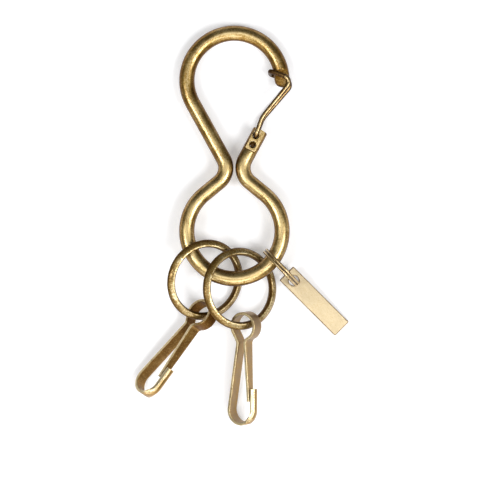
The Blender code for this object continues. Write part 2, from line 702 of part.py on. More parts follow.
def main():
    clear_scene()
    root = add_object("key_hook_origin", None)
    left_pose, right_pose = lying_rings()
    frame_world = lying_frame([left_pose, right_pose])
    frame_place = add_object("frame_place", None, parent=root)
    frame_place.matrix_local = frame_world

    make_frame(frame_place)
    make_gate(frame_place)
    for side, pose, on_ring, drawn_in, heading, roll in (
        ("left", left_pose, LEFT_CLIP_ON_RING, LEFT_EYE_DRAWN_IN, LEFT_CLIP_HEADING, LEFT_CLIP_ROLL),
        ("right", right_pose, RIGHT_CLIP_ON_RING, RIGHT_EYE_DRAWN_IN, RIGHT_CLIP_HEADING, RIGHT_CLIP_ROLL),
    ):
        ring = make_key_ring(f"key_ring_{side}", pose, frame_place)
        make_clip(side, ring, frame_world @ pose, on_ring, drawn_in, heading, roll)
    split_ring, split_pose = make_split_ring(frame_world, root)
    make_tag(split_ring, split_pose)
    centre_on_footprint(root)


main()
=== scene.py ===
"""Looks of a brass key hook: a bent rod with a wire gate, two key rings with strip clips, and a blank tag.

Laid out as an add-on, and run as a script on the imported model, which is loaded as a fixed frame.
"""

import json
import math

import bmesh
import bpy
from bpy.props import FloatProperty, FloatVectorProperty, PointerProperty
from mathutils import Matrix, Vector


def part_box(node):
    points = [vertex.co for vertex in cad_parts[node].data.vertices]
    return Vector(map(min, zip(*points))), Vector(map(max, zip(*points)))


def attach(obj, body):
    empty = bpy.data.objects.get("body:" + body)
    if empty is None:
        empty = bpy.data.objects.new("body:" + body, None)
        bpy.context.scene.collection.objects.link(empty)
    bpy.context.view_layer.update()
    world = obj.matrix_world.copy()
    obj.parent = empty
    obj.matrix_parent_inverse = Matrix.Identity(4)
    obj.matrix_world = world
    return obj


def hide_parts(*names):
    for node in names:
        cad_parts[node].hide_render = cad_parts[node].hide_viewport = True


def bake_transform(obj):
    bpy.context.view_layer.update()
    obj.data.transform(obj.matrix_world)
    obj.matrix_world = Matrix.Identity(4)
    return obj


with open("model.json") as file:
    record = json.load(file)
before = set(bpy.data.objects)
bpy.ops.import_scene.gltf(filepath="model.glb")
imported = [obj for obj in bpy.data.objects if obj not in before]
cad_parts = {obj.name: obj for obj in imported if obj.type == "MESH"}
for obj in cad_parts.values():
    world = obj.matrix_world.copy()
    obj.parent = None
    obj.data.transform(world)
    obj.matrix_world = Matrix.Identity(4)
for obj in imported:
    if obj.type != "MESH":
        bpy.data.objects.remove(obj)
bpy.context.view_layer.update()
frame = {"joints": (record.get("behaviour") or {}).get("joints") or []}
JOINTS = {joint["name"]: joint for joint in frame["joints"]}

bl_info = {
    "name": "Key Hook",
    "version": (1, 0, 0),
    "blender": (4, 5, 0),
    "location": "View3D > Sidebar > Key Hook",
    "description": "Builds a brass key hook with rings, clips and a tag on its packed frame",
    "category": "Object",
}

# The picture: its side, and its middle on the hook, both in pixels
PHOTO_SIDE = 480
PHOTO_MIDDLE = (5.6, -9)

# Fineness of the meshes
ROD_SIDES = 48
WIRE_SIDES = 20
FINE_STEP = math.radians(2.5)
CORNER_STEP = math.radians(6)
END_STEPS = 6
HOLE_SIDES = 64
RING_SIDES = 32
RING_STEPS = 192
FOLD_STEPS = 6
EDGE_STEPS = 4
TAG_CORNER_STEPS = 6
SOFT_STEPS = 3
SHARP_ANGLE = math.radians(35)
RIGHT_ANGLE_SLACK = 0.01

# Shares of a wire's diameter: rounding of its ends, and how far from the gate's closed end its painted
# shade reaches
END_ROUNDING = 1 / 8
CLOSED_END_REACH = 3

# How the faces of a mesh are told apart: by how far their normals point along Z, by shares of a hole's
# diameter and of the rod's radius, and by what the loops' spacing is divided by for the height on the
# hook between its arm and its nose
FLAT_NORMAL = 0.999
GROOVE_NORMAL = 0.9
TAG_NORMAL = 0.995
HOLE_REACH = 0.52
SUNK_SHARE = 0.9
NOSE_DIVIDE = 1.2

# What the second mark adds to how bright a face is made: a lift of the whole rod, which the hook loop
# loses towards its middle as painted shade; painted shade in the rod's holes and saw mark, on the gate's
# lower pin and closed end, and on the tag's rims and hole wall; darker nose flats and clip eyes; and a
# painted highlight on the clips' channels
PAINTED_SHADE = -1.0
ROD_LIFT = 0.06
HOOK_LOOP_SHADE = 0.28
NOSE_FLAT_DARKENING = -0.5
LOWER_PIN_SHADE = -0.8
CLOSED_END_SHADE = 0.9
EYE_DARKENING = {"left": -0.3, "right": -0.1}
CHANNEL_HIGHLIGHT = 0.15

# The brass: spans of the noises, and what they change over them
NOISE_SPAN = (0.3, 0.7)
BLOTCH_WEAR = 0.12
SPECK_TINT_SPAN = (0.50, 0.72)
SPECK_TINT = 0.6
SPECK_ROUGH_SPAN = (0.4, 0.8)
SPECK_ROUGHNESS = 0.10
FILED_SPAN = (0.35, 0.65)
FILED_SPECKS = 0.8
FILED_ROUGHNESS = 0.22
BARE_SPECULAR = 0.1
COAT_ROUGHNESS = 0.24
COAT_IOR = 1.7
STREAK_SPAN = (0.35, 0.75)
STREAK_ROUGHNESS = (-0.04, 0.06)
STREAK_HEIGHT = 2.0
TAG_GRAIN = ((12, 1, 1), 0.0002, 0.15)

# The studio
FLOOR_SIZE = 3
FLOOR_ROUGHNESS = 0.9
CAMERA_REACH = 10

# Name, place, width and height, and power of each light. All point to the middle of the floor.
LIGHTS = (
    ("key_right", (0.56, -0.20, 0.80), (0.40, 0.45), 6.0),
    ("fill_left", (-0.54, -0.14, 0.83), (0.32, 0.40), 4.2),
    ("fill_front", (0.05, -0.68, 0.73), (0.6, 0.3), 3.2),
    ("low_front", (-0.15, -0.85, 0.20), (1.5, 0.25), 4.4),
    ("soft_above", (0, 0, 1.5), (0.5, 0.5), 2.2),
)


def length(name, description, default):
    return FloatProperty(name=name, description=description, default=default, unit="LENGTH")


def angle(name, description, degrees):
    return FloatProperty(name=name, description=description, default=math.radians(degrees),
                         subtype="ANGLE")


def share(name, description, default):
    return FloatProperty(name=name, description=description, default=default, min=0, max=1,
                         subtype="FACTOR")


def colour(name, description, default):
    return FloatVectorProperty(name=name, description=description, default=default, size=3,
                               min=0, max=1, subtype="COLOR")


class HookSizes(bpy.types.PropertyGroup):
    rod: length("Rod", "Diameter of the frame's rod", 0.0050)
    hook_loop: length("Hook loop", "Radius of the hook loop, to the middle of the rod", 0.0155)
    ring_loop: length("Ring loop", "Radius of the ring loop, to the middle of the rod", 0.0155)
    spacing: length("Spacing", "Distance between the two loops' middles", 0.049195)
    waist_bend: length("Waist bend", "Radius of the bends at the waist", 0.0060)
    waist_height: length("Waist height", "Distance from the ring loop's middle to the waist", 0.020604)
    waist_gap: length("Waist gap", "Gap between the rods at the waist", 0.0006)
    arm: length("Arm", "Length of the straight arm that holds the gate", 0.0108)
    arm_lean: angle("Arm lean", "Lean of the arm", 28)
    nose: angle("Nose", "Where on its loop the nose ends", -8.3)
    arm_rounding: length("Arm rounding", "Rounding of the arm's end", 0.0006)
    nose_rounding: length("Nose rounding", "Rounding of the nose's end", 0.0022)
    arm_flat: length("Arm flat", "Thickness across the flats of the arm", 0.0036)
    arm_flat_length: length("Arm flat length", "Length of the flats of the arm", 0.0078)
    nose_flat: length("Nose flat", "Thickness across the flats of the nose", 0.0030)
    nose_flat_length: length("Nose flat length", "Length of the flats of the nose", 0.0057)
    hole: length("Hole", "Diameter of the two gate holes at the front", 0.0023)
    hole_back: length("Hole behind", "Diameter of the two gate holes at the back", 0.0016)
    hole_step: length("Hole step", "Depth at which the gate holes get narrower", 0.0024)
    groove: length("Groove", "Width and depth of the saw mark at the arm's shoulder", 0.0003)
    upper_hole: length("Upper hole", "Distance of the upper hole from the arm's end", 0.0025)
    lower_hole: length("Lower hole", "Distance of the lower hole from the arm's end", 0.0056)
    hole_aside: length("Hole aside", "How far the upper hole lies off the arm's middle", 0.0005)
    edge: length("Edge", "Softening of the filed edges", 0.00012)
    overrun: length("Overrun", "How far a cutter runs past what it cuts", 0.0010)


class GateSizes(bpy.types.PropertyGroup):
    wire: length("Wire", "Diameter of the gate's wire", 0.0015)
    clearance: length("Clearance", "Gap between the wire and the flats", 0.0001)
    kink_run: length("Kink run", "Length of the wire up to its kink", 0.0063)
    kink_heading: angle("Kink heading", "Heading of that length", 71)
    kink_radius: length("Kink radius", "Radius of the kink", 0.0080)
    elbow_overhang: length("Elbow overhang", "How far the elbow reaches past the rod", 0.0010)
    elbow_angle: angle("Elbow angle", "Where on the hook loop the elbow lies", 0.5)
    elbow_radius: length("Elbow radius", "Radius of the elbow", 0.0020)
    stop_gap: length("Stop gap", "Gap between the closed end and the nose", 0.0003)
    stop_angle: angle("Stop angle", "Where on the hook loop the closed end lies", 14)
    bend: length("Bend", "Radius of the bends at the ends", 0.0012)
    back_shift: length("Back shift", "How far the back leg lies outside the front one", 0.0002)
    elbow_shift: length("Elbow shift", "How far the back elbow lies outside the front one", 0.0007)
    pin_recess: length("Pin recess", "How deep the lower pin's end sits in its hole", 0.0012)


class RingSizes(bpy.types.PropertyGroup):
    outer: length("Outer diameter", "Outer diameter of a key ring", 0.0268)
    wire_width: length("Wire width", "Width of the ring's wire, across the ring", 0.0026)
    wire_height: length("Wire height", "Height of the ring's wire, along its axis", 0.0029)
    crest: FloatProperty(name="Crest", description="Exponent of the wire's oval, less is sharper",
                         default=1.62, min=1, max=3)
    crest_shift: length("Crest shift", "How far the crest lies inside the wire's middle", 0.0006)
    split_outer: length("Split ring", "Outer diameter of the tag's split ring", 0.0157)
    split_wire: length("Split wire", "Diameter of the split ring's wire", 0.00096)
    split_gap: length("Turn gap", "Gap between the split ring's turns", 0.00006)
    crossover: angle("Crossover", "Angle over which the split ring changes turns", 46)
    crossover_place: angle("Crossover place", "Where on the split ring the ends stop", 250)


class ClipSizes(bpy.types.PropertyGroup):
    strip: length("Strip", "Width of the strip", 0.0042)
    thickness: length("Thickness", "Thickness of the strip", 0.0009)
    eye: length("Eye", "Outer diameter of the eye", 0.0094)
    neck_bend: length("Neck bend", "Radius of the bends at the neck", 0.0020)
    neck_drop: length("Neck drop", "Distance from the eye to the neck's bends", 0.0056)
    neck_right: length("Neck right", "Offset of the tongue at the neck", 0.0008)
    neck_left: length("Neck left", "Offset of the back leg at the neck", 0.0020)
    bow: length("Bow", "Outer diameter of the bow", 0.0098)
    bow_drop: length("Bow drop", "Distance from the eye to the bow", 0.0275)
    bow_aside: length("Bow aside", "Offset of the bow from the eye", 0.0009)
    tip_rise: length("Tip rise", "Height of the tip above the bow's middle", 0.0071)
    overlap: length("Overlap", "How far the tongue reaches past the tip", 0.0041)
    gap: length("Gap", "Gap between the tongue and the channel", 0.0003)
    tongue_tip: length("Tongue tip", "Width of the tongue's tip", 0.0025)
    channel_strip: length("Channel strip", "Width of the strip before it is folded", 0.0036)
    channel_flat: length("Channel flat", "Width of the channel's floor", 0.0006)
    fold_radius: length("Fold radius", "Radius of the channel's folds", 0.0006)
    fold: angle("Fold", "Angle of the channel's sides", 88)
    fold_start: angle("Fold start", "Where on the bow the folds begin", -80)
    fold_end: angle("Fold end", "Where on the bow the folds are full", -5)
    edge: length("Edge", "Rounding of the strip's cut edges", 0.0001)


class TagSizes(bpy.types.PropertyGroup):
    plate_length: length("Length", "Length of the tag", 0.0259)
    plate_width: length("Width", "Width of the tag", 0.0064)
    thickness: length("Thickness", "Thickness of the tag", 0.0010)
    corner: length("Corner", "Radius of the tag's corners", 0.0003)
    hole: length("Hole", "Diameter of the tag's hole", 0.0033)
    hole_from_end: length("Hole from end", "Distance of the hole from the near end", 0.0034)
    twist: angle("Twist", "Turn of the tag from the split ring's plane", 1.5)
    edge: length("Edge", "Softening of the tag's edges", 0.00024)


class BrassColours(bpy.types.PropertyGroup):
    # Each part goes from its tarnish colour on its sides, tarnish and painted shade, through its middle, to
    # its rubbed colour on faces that look up, rubbed wear and painted highlight.
    rod: colour("Rod", "Rubbed brass of the rod", (0.61, 0.45, 0.18))
    rod_mid: colour("Rod middle", "Brass of the rod between its rubbed and its tarnished parts",
                    (0.34, 0.195, 0.036))
    rod_dark: colour("Rod tarnish", "Tarnish of the rod", (0.11, 0.046, 0.004))
    filed: colour("Filed", "Brass of the rod's filed flats", (0.76, 0.58, 0.25))
    wire: colour("Wire", "Rubbed brass of the wires", (0.60, 0.45, 0.22))
    wire_mid: colour("Wire middle", "Brass of the wires between", (0.24, 0.140, 0.040))
    wire_dark: colour("Wire tarnish", "Tarnish of the wires", (0.050, 0.022, 0.006))
    ring: colour("Ring", "Rubbed brass of the key rings", (0.70, 0.56, 0.29))
    ring_mid: colour("Ring middle", "Brass of the key rings between", (0.29, 0.185, 0.050))
    ring_dark: colour("Ring tarnish", "Tarnish of the key rings", (0.085, 0.040, 0.007))
    # The clips' cut edges and channels, which look up, get the bright colour: rubbed wear and painted
    # highlight.
    strip: colour("Strip", "Cut edges and channels of the clips", (0.82, 0.67, 0.38))
    strip_mid: colour("Strip middle", "Brass of the clips between", (0.38, 0.225, 0.058))
    # The clips' sides: tarnish and painted shade, darker on the left clip than on the right.
    strip_dark: colour("Strip tarnish", "Tarnish of the left clip", (0.105, 0.038, 0.002))
    strip_pale: colour("Strip pale", "Tarnish of the right clip", (0.24, 0.170, 0.105))
    tag: colour("Tag", "Rubbed brass of the tag", (0.56, 0.465, 0.305))
    tag_mid: colour("Tag middle", "Brass of the tag between", (0.51, 0.40, 0.235))
    # The tag's rims and hole wall: painted shade.
    tag_dark: colour("Tag tarnish", "Edges of the tag", (0.12, 0.055, 0.015))


class StudioLook(bpy.types.PropertyGroup):
    floor: colour("Floor", "Colour of the floor", (0.84, 0.84, 0.85))
    floor_lift: share("Floor lift", "Light that the camera sees the floor give", 0.26)
    surroundings: share("Surroundings", "Brightness of the room", 0.08)
    pixel: length("Pixel", "Size of one pixel of the picture on the hook", 0.0003253)
    camera_height: length("Camera height", "Height of the camera above the floor", 1.2)


# Places of the pieces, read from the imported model's joints

def joint_point(name):
    return Vector(JOINTS[name]["pos_m"])


def joint_axis(name):
    return Vector(JOINTS[name]["axis"]).normalized()


def placed(across, along, normal, origin):
    """The matrix of a piece whose own axes and origin are given."""
    return Matrix.Translation(origin) @ Matrix((across, along, normal)).transposed().to_4x4()


def direction(turn):
    return Vector((math.cos(turn), math.sin(turn)))


def hook_place(sizes):
    normal = joint_axis("gate_swing")
    across = Vector((1, 0, 0))
    along = normal.cross(across)
    upper = gate_holes(sizes)[0]
    origin = joint_point("gate_swing") - across * upper.x - along * upper.y
    return placed(across, along, normal, origin)


def key_ring_place(side):
    centre = joint_point(f"ring_flip_{side}")
    out = -joint_axis(f"ring_flip_{side}")
    normal = out.cross(joint_point(f"clip_swing_{side}") - centre).normalized()
    return placed(out, normal.cross(out), normal, centre)


def clip_place(side, hinge):
    eye = joint_point(f"clip_swing_{side}")
    normal = -joint_axis(f"tongue_flex_{side}")
    run = (joint_point(f"tongue_flex_{side}") - eye).normalized()
    aside = normal.cross(run)
    flat_run = hinge.normalized()
    return placed(run * flat_run.x - aside * flat_run.y, run * flat_run.y + aside * flat_run.x,
                  normal, eye)


def split_ring_place():
    low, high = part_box("tag_split_ring")
    normal = joint_axis("tag_swing")
    up = Vector((0, 0, 1))
    return placed(up.cross(normal), up, normal, (Vector(low) + Vector(high)) / 2)


def tag_heading(sizes):
    across = joint_axis("tag_swing")
    return math.atan2(across.x, -across.y) + sizes.twist


def tag_place(sizes):
    hang = joint_point("tag_swing")
    far = sizes.plate_length - sizes.hole_from_end
    half = sizes.thickness / 2
    droop = math.asin(hang.z / math.hypot(far, half)) - math.atan2(half, far)
    return (Matrix.Translation(hang) @ Matrix.Rotation(tag_heading(sizes), 4, "Z")
            @ Matrix.Rotation(droop, 4, "Y"))


# Paths and shapes

def bend_path(bends, step, start_angle=0.0):
    """Points and headings along bends given as (centre, radius, turn), turn 1 to the left, -1 right.

    A bend of no radius is an end of the path. A path that begins on a bend begins at start_angle on it.
    """
    headings = []
    for (centre, radius, turn), (next_centre, next_radius, next_turn) in zip(bends, bends[1:]):
        run = next_centre - centre
        swing = math.asin((next_turn * next_radius - turn * radius) / run.length)
        headings.append(math.atan2(run.y, run.x) - swing)
    path = []
    for i, (centre, radius, turn) in enumerate(bends):
        if radius == 0:
            path.append((centre.copy(), headings[max(i - 1, 0)]))
            continue
        quarter = turn * math.pi / 2
        start = headings[i - 1] - quarter if i else start_angle
        end = headings[i] - quarter
        while turn * (end - start) < 0:
            end += turn * math.tau
        while turn * (end - start) > math.tau:
            end -= turn * math.tau
        count = max(2, math.ceil(abs(end - start) / step))
        for k in range(count + 1):
            along = start + (end - start) * k / count
            path.append((centre + radius * direction(along), along + quarter))
    return path


def corner_path(corners, radii, step):
    """Points in space along straight runs, with every inner corner rounded to its radius."""
    points = [corners[0]]
    for before, corner, after, radius in zip(corners, corners[1:], corners[2:], radii):
        back = (before - corner).normalized()
        on = (after - corner).normalized()
        half = back.angle(on) / 2
        centre = corner + (back + on).normalized() * (radius / math.sin(half))
        start = corner + back * (radius / math.tan(half)) - centre
        sweep = math.pi - 2 * half
        axis = start.cross(corner - centre).normalized()
        count = max(2, math.ceil(sweep / step))
        for k in range(count + 1):
            points.append(centre + Matrix.Rotation(sweep * k / count, 3, axis) @ start)
    points.append(corners[-1])
    return points


def rounded_end(points, radius, rounding):
    """Points and radius shares in place of a wire's first point, for a rounded end."""
    tip, run = points[0], (points[1] - points[0]).normalized()
    ring = []
    for k in range(END_STEPS + 1):
        bend = direction(math.pi / 2 * k / END_STEPS)
        ring.append((tip + run * rounding * (1 - bend.x), (radius - rounding * (1 - bend.y)) / radius))
    while (points[1] - tip).length <= rounding:
        points.pop(1)
    return ring


def wire_mesh(name, points, diameter, sides, first_rounding=0.0, last_rounding=0.0):
    """A round wire along points, as a mesh, its ends rounded off."""
    radius = diameter / 2
    points = [Vector(p).to_3d() for p in points]
    shares = [1.0] * len(points)
    for rounding in (first_rounding, last_rounding):
        if rounding:
            ring = rounded_end(points, radius, rounding)
            shares = [s for _, s in ring] + shares[len(shares) - len(points) + 1:]
            points = [p for p, _ in ring] + points[1:]
        points.reverse()
        shares.reverse()
    curve = bpy.data.curves.new(name, "CURVE")
    curve.dimensions = "3D"
    curve.bevel_depth = radius
    curve.bevel_resolution = (sides - 4) // 2
    curve.use_fill_caps = True
    spline = curve.splines.new("POLY")
    spline.points.add(len(points) - 1)
    for slot, point, size in zip(spline.points, points, shares):
        slot.co = (*point, 1)
        slot.radius = size
    spline.use_smooth = True
    sweep = bpy.data.objects.new(name, curve)
    bpy.context.scene.collection.objects.link(sweep)
    bpy.context.view_layer.update()
    mesh = bpy.data.meshes.new_from_object(sweep.evaluated_get(bpy.context.evaluated_depsgraph_get()))
    bpy.data.objects.remove(sweep, do_unlink=True)
    mesh.name = name
    mesh.materials.clear()
    return mesh


def mesh_from(name, bm):
    bmesh.ops.recalc_face_normals(bm, faces=bm.faces)
    mesh = bpy.data.meshes.new(name)
    bm.to_mesh(mesh)
    bm.free()
    return mesh


def show(name, mesh, place, material, replaced_nodes, body, marks=None):
    """Adds a finished piece: its place goes into its mesh, and it stands for nodes and rides a body.

    The first attribute is 1 on what faces along the piece's own Z and 0 on its sides; the material
    makes those faces bright, as rubbed wear and painted highlight, and the sides dark, as tarnish and
    painted shade. Marks are more attributes, each with a function of a face. A piece without a body is
    not attached to one.
    """
    mesh.shade_smooth()
    mesh.set_sharp_from_angle(angle=SHARP_ANGLE)
    # Painted light: faces along Z get the bright colour and the sides the dark one, standing in for
    # highlight and shade, with some rubbed wear.
    wear = mesh.attributes.new("wear", "FLOAT", "CORNER")
    wear.data.foreach_set("value", [abs(normal.vector.z) for normal in mesh.corner_normals])
    for mark, function in (marks or {}).items():
        attribute = mesh.attributes.new(mark, "FLOAT", "FACE")
        attribute.data.foreach_set("value", [function(face) for face in mesh.polygons])
    mesh.transform(place)
    piece = bpy.data.objects.new(name, mesh)
    bpy.context.scene.collection.objects.link(piece)
    mesh.materials.append(material)
    for replaced in replaced_nodes:
        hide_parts(replaced)
    if body:
        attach(piece, body)
    return piece


def cut(name, mesh, cutter_meshes, edge):
    """The mesh less the cutters, with its sharp edges softened."""
    body = bpy.data.objects.new(name, mesh)
    cutters = [bpy.data.objects.new(name + "_cutter", cutter) for cutter in cutter_meshes]
    for thing in (body, *cutters):
        bpy.context.scene.collection.objects.link(thing)
    for cutter in cutters:
        difference = body.modifiers.new("cut", "BOOLEAN")
        difference.operation = "DIFFERENCE"
        difference.solver = "EXACT"
        difference.object = cutter
    soften = body.modifiers.new("soften", "BEVEL")
    soften.width = edge
    soften.segments = SOFT_STEPS
    soften.limit_method = "ANGLE"
    soften.angle_limit = SHARP_ANGLE
    bpy.context.view_layer.update()
    made = bpy.data.meshes.new_from_object(body.evaluated_get(bpy.context.evaluated_depsgraph_get()))
    for thing in (body, *cutters):
        bpy.data.objects.remove(thing, do_unlink=True)
    made.name = name
    return made


def box(bm, centre, sizes, turn):
    place = Matrix.Translation(centre) @ Matrix.Rotation(turn, 4, "Z") @ Matrix.Diagonal((*sizes, 1))
    bmesh.ops.create_cube(bm, size=1, matrix=place)


def cylinder(bm, centre, diameter, depth):
    bmesh.ops.create_cone(bm, cap_ends=True, segments=HOLE_SIDES, radius1=diameter / 2,
                          radius2=diameter / 2, depth=depth, matrix=Matrix.Translation(centre))


# The frame

def frame_path(s):
    waist_x = s.rod / 2 + s.waist_gap / 2 + s.waist_bend
    left = (Vector((-waist_x, s.waist_height)), s.waist_bend, -1)
    right = (Vector((waist_x, s.waist_height)), s.waist_bend, -1)
    heading = math.pi / 2 - s.arm_lean
    arm_start = right[0] + s.waist_bend * direction(heading + math.pi / 2)
    arm_end = arm_start + s.arm * direction(heading)
    bends = [(Vector((0, s.spacing)), s.hook_loop, 1), left, (Vector((0, 0)), s.ring_loop, 1), right,
             (arm_end, 0, 1)]
    return bend_path(bends, FINE_STEP, start_angle=s.nose), arm_end, heading


def gate_holes(s):
    """Middles of the two gate holes, upper first."""
    _, arm_end, heading = frame_path(s)
    aside = direction(heading + math.pi / 2)
    upper = arm_end - direction(heading) * s.upper_hole + aside * s.hole_aside
    return upper, arm_end - direction(heading) * s.lower_hole


def frame_mesh(s):
    path, arm_end, heading = frame_path(s)
    rod = wire_mesh("hook_rod", [p for p, _ in path], s.rod, ROD_SIDES, s.nose_rounding, s.arm_rounding)
    flats, holes = bmesh.new(), bmesh.new()
    nose_middle = s.nose + s.nose_flat_length / s.hook_loop / 2
    nose_turn = nose_middle + math.pi / 2
    nose_place = (Vector((0, s.spacing)) + s.hook_loop * direction(nose_middle)
                  - direction(nose_turn) * s.overrun / 2)
    arm_place = arm_end - direction(heading) * (s.arm_flat_length - s.overrun) / 2
    for place, turn, run, thickness in (
        (arm_place, heading, s.arm_flat_length + s.overrun, s.arm_flat),
        (nose_place, nose_turn, s.nose_flat_length + s.overrun, s.nose_flat),
    ):
        depth = (s.rod - thickness) / 2 + s.overrun
        for side in (1, -1):
            box(flats, (*place, side * (thickness + depth) / 2), (run, s.rod + s.overrun, depth), turn)
    backs, groove = bmesh.new(), bmesh.new()
    shoulder = arm_end - direction(heading) * (s.arm_flat_length - s.groove / 2)
    box(groove, (*shoulder, s.arm_flat / 2 + s.rod / 2 - s.groove), (s.groove, s.rod + s.overrun, s.rod),
        heading)
    step = s.arm_flat / 2 - s.hole_step
    for hole in gate_holes(s):
        cylinder(holes, (*hole, step + s.rod / 2), s.hole, s.rod)
        cylinder(backs, hole.to_3d(), s.hole_back, s.rod)
    return cut("hook_rod", rod, [mesh_from("flats", flats), mesh_from("holes", holes),
                                 mesh_from("hole_backs", backs), mesh_from("groove", groove)], s.edge)


# The gate

def gate_points(s, g):
    upper, lower = gate_holes(s)
    centre = Vector((0, s.spacing))
    radius = g.wire / 2
    level = max(s.arm_flat, s.nose_flat) / 2 + g.clearance + radius
    kink = upper + direction(g.kink_heading) * g.kink_run
    elbow = centre + (s.hook_loop + s.rod / 2 + g.elbow_overhang) * direction(g.elbow_angle)
    stop = centre + (s.hook_loop - s.rod / 2 - g.stop_gap - radius) * direction(g.stop_angle)
    leg = (elbow - kink).normalized()
    outward = Vector((leg.y, -leg.x))
    pin = s.arm_flat / 2
    back_stop = stop - direction(g.stop_angle + math.pi / 2) * g.elbow_shift
    back_elbow = elbow + outward * g.elbow_shift
    back_kink = kink + outward * g.back_shift
    places = [(upper, -pin), (upper, level), (kink, level), (elbow, level), (stop, level),
              (back_stop, -level), (back_elbow, -level), (back_kink, -level), (lower, -level),
              (lower, pin - g.pin_recess)]
    radii = [g.bend, g.kink_radius, g.elbow_radius, g.bend]
    return corner_path([Vector((*p, z)) for p, z in places], radii + radii[::-1], CORNER_STEP)


# The rings

def key_ring_mesh(r):
    """A ring of oval wire with a crest above and below, turned on its axis."""
    bm = bmesh.new()
    middle = (r.outer - r.wire_width) / 2
    power = 2 / r.crest
    section = []
    for k in range(RING_SIDES):
        side = direction(math.tau * k / RING_SIDES)
        width, height = (math.copysign(abs(c) ** power, c) for c in side)
        across = middle + width * r.wire_width / 2 - r.crest_shift * (1 - abs(width))
        section.append(bm.verts.new((across, 0, height * r.wire_height / 2)))
    edges = [bm.edges.new(pair) for pair in zip(section, section[1:] + section[:1])]
    bmesh.ops.spin(bm, geom=section + edges, axis=(0, 0, 1), cent=(0, 0, 0), angle=math.tau,
                   steps=RING_STEPS, use_merge=True)
    return mesh_from("key_ring", bm)


def split_ring_points(r):
    """Two turns of wire side by side, with one step across where the ends stop."""
    middle = (r.split_outer - r.split_wire) / 2
    pitch = r.split_wire + r.split_gap
    half = r.crossover / 2
    end_gap = pitch / middle
    first = half + end_gap
    last = 2 * math.tau - half - end_gap
    count = math.ceil((last - first) / FINE_STEP)
    points = []
    for k in range(count + 1):
        along = first + (last - first) * k / count
        across = min(1, max(0, (along - math.tau + half) / r.crossover))
        level = pitch * (0.5 - across * across * (3 - 2 * across))
        points.append(Vector((*(middle * direction(r.crossover_place + along)), level)))
    return points


# The clips

def clip_bends(c):
    eye_radius = (c.eye - c.thickness) / 2
    bow_radius = (c.bow - c.thickness) / 2
    bow_centre = Vector((-c.bow_aside, -c.bow_drop))
    tip = bow_centre + Vector((bow_radius, c.tip_rise))
    channel_edge = tip.x - c.fold_radius - strip_wing(c, c.channel_strip)
    tongue_end = Vector((channel_edge - c.gap - c.thickness / 2, tip.y - c.overlap))
    right_neck = Vector((c.neck_right + c.neck_bend, -c.neck_drop))
    left_neck = Vector((-c.neck_left - c.neck_bend, -c.neck_drop))
    return [(tongue_end, 0, 1), (right_neck, c.neck_bend, -1), (Vector((0, 0)), eye_radius, 1),
            (left_neck, c.neck_bend, -1), (bow_centre, bow_radius, 1), (tip, 0, 1)]


def strip_wing(c, width):
    """Straight part of the strip's side beyond its fold."""
    return (width - c.channel_flat) / 2 - c.fold_radius * c.fold


def strip_section(c, width, fold):
    """Outline across the strip, its cut edges rounded, its sides folded towards the inside of the bow."""
    place, heading = Vector((c.channel_flat / 2, 0)), 0.0
    middle = [(place.copy(), heading)]
    for _ in range(FOLD_STEPS):
        heading += fold / FOLD_STEPS / 2
        place = place + direction(heading) * c.fold_radius * c.fold / FOLD_STEPS
        heading += fold / FOLD_STEPS / 2
        middle.append((place.copy(), heading))
    half = c.thickness / 2
    along, out = direction(heading), direction(heading - math.pi / 2)
    wing_end = place + along * (strip_wing(c, width) - c.edge)
    points = [p + direction(h - math.pi / 2) * half for p, h in middle]
    for side in (1, -1):
        centre = wing_end + out * side * (half - c.edge)
        for k in range(EDGE_STEPS + 1):
            turn = math.pi / 2 * (k / EDGE_STEPS if side > 0 else 1 - k / EDGE_STEPS)
            points.append(centre + (out * side * math.cos(turn) + along * math.sin(turn)) * c.edge)
    points += [p + direction(h + math.pi / 2) * half for p, h in reversed(middle)]
    return points + [Vector((-p.x, p.y)) for p in reversed(points)]


def strip_mesh(name, c, path, widths, folds):
    """The strip along a path in the profile plane, extruded station by station."""
    bm = bmesh.new()
    face = None
    for (place, heading), width, fold in zip(path, widths, folds):
        inward = direction(heading + math.pi / 2)
        spots = [Vector((*(place + inward * p.y), p.x)) for p in strip_section(c, width, fold)]
        if face is None:
            face = bm.faces.new([bm.verts.new(spot) for spot in spots])
            numbers = {v: k for k, v in enumerate(face.verts)}
        else:
            order = {v.co.to_tuple(): number for v, number in numbers.items()}
            grown = bmesh.ops.extrude_face_region(bm, geom=[face, *face.edges])["geom"]
            face = next(g for g in grown if isinstance(g, bmesh.types.BMFace))
            numbers = {v: order[v.co.to_tuple()] for v in face.verts}
        for v, number in numbers.items():
            v.co = spots[number]
    return mesh_from(name, bm)


def channel_share(c, place):
    """How far the strip is folded to its channel at a place of the profile, from 0 to 1."""
    arm = place - Vector((-c.bow_aside, -c.bow_drop))
    turn = math.atan2(arm.y, arm.x)
    if arm.y > 2 * c.tip_rise or turn < c.fold_start or turn > math.pi / 2:
        return 0.0
    part = min(1, (turn - c.fold_start) / (c.fold_end - c.fold_start))
    return part * part * (3 - 2 * part)


def divided(path, longest):
    """The path with its long straight runs divided."""
    points = [path[0]]
    for (before, _), (after, heading) in zip(path, path[1:]):
        count = max(1, math.ceil((after - before).length / longest))
        points += [(before.lerp(after, k / count), heading) for k in range(1, count + 1)]
    return points


